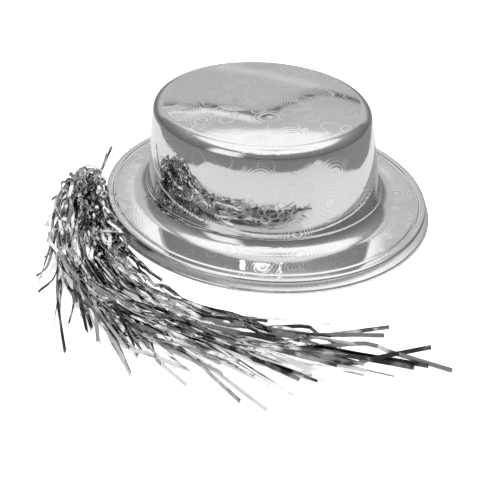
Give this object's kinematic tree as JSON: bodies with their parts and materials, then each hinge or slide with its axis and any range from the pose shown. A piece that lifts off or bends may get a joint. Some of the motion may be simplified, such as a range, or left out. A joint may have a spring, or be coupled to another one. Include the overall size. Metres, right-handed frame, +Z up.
{
  "type": "party hat",
  "caption": "Oval party boater of mirror-finish holographic plastic with a beaded brim edge and a swinging tail of silver tinsel strips at the side",
  "frame": {"origin": "middle of the head opening, in the plane of the rim", "axes": "+Z up through the crown, the hat's front faces -Y, and the oval is long along Y"},
  "size_m": [0.3607, 0.3897, 0.09],
  "materials": {
    "holographic_shell": "metallised film with ringed holographic pattern, mirror gloss",
    "foil_strip": "metallised film strip, mirror gloss, creased",
    "band_film": "metallised film tape, gloss",
    "steel_wire": "bright drawn wire",
    "clear_patch": "satin white sheet"
  },
  "bodies": {
    "hat": {"hat_shell": "holographic_shell", "wire_bail": "steel_wire", "backing_patch": "clear_patch"},
    "tail": {"tail_fold": "foil_strip", "neck_band": "band_film", "lock_core": "foil_strip", "lock_inner": "foil_strip", "lock_outer": "foil_strip", "lock_low": "foil_strip", "lock_arch": "foil_strip", "loose_strips": "foil_strip"}
  },
  "joints": [
    {"name": "tail_swing", "type": "hinge", "parent": "hat", "child": "tail", "pos_m": [-0.09877, 0.09468, 0.0045], "axis": [0, 0, 1], "range_deg": [-75, 5]}
  ]
}
